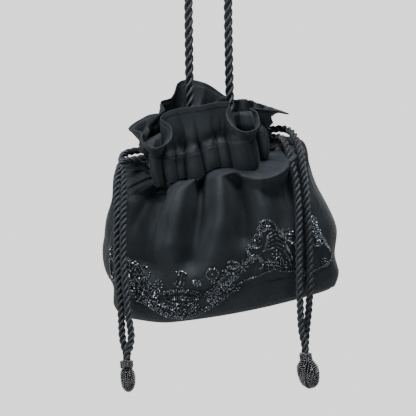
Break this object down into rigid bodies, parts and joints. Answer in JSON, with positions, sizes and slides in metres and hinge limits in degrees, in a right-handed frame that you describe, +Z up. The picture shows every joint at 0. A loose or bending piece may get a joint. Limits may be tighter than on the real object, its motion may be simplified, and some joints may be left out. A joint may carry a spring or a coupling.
{
  "type": "reticule",
  "caption": "Gathered satin drawstring evening bag with a ruffled heading, boxed base, rope strap loop, bead-ended drawstrings and a scalloped band of bead embroidery.",
  "frame": {"origin": "under the apex of the strap's loop, where the bag hangs from a hook or a wrist", "axes": "+Z up as the bag hangs, -Y towards the beaded front, +X to the right as seen from the front"},
  "size_m": [0.2008, 0.1082, 0.3974],
  "materials": {
    "satin": "black satin cloth with a soft dull sheen",
    "rope": "twisted rayon cord, navy black with a silky sheen",
    "jet_beads": "opaque black glass seed and bugle beads, glossy"
  },
  "bodies": {
    "root": {"pouch": "satin", "base_panel": "satin", "casing_front": "satin", "casing_back": "satin", "ruffle": "satin", "strap_cord": "rope", "left_drawstring": "rope", "right_drawstring": "rope", "left_beaded_end": "jet_beads", "right_beaded_end": "jet_beads"}
  },
  "joints": []
}
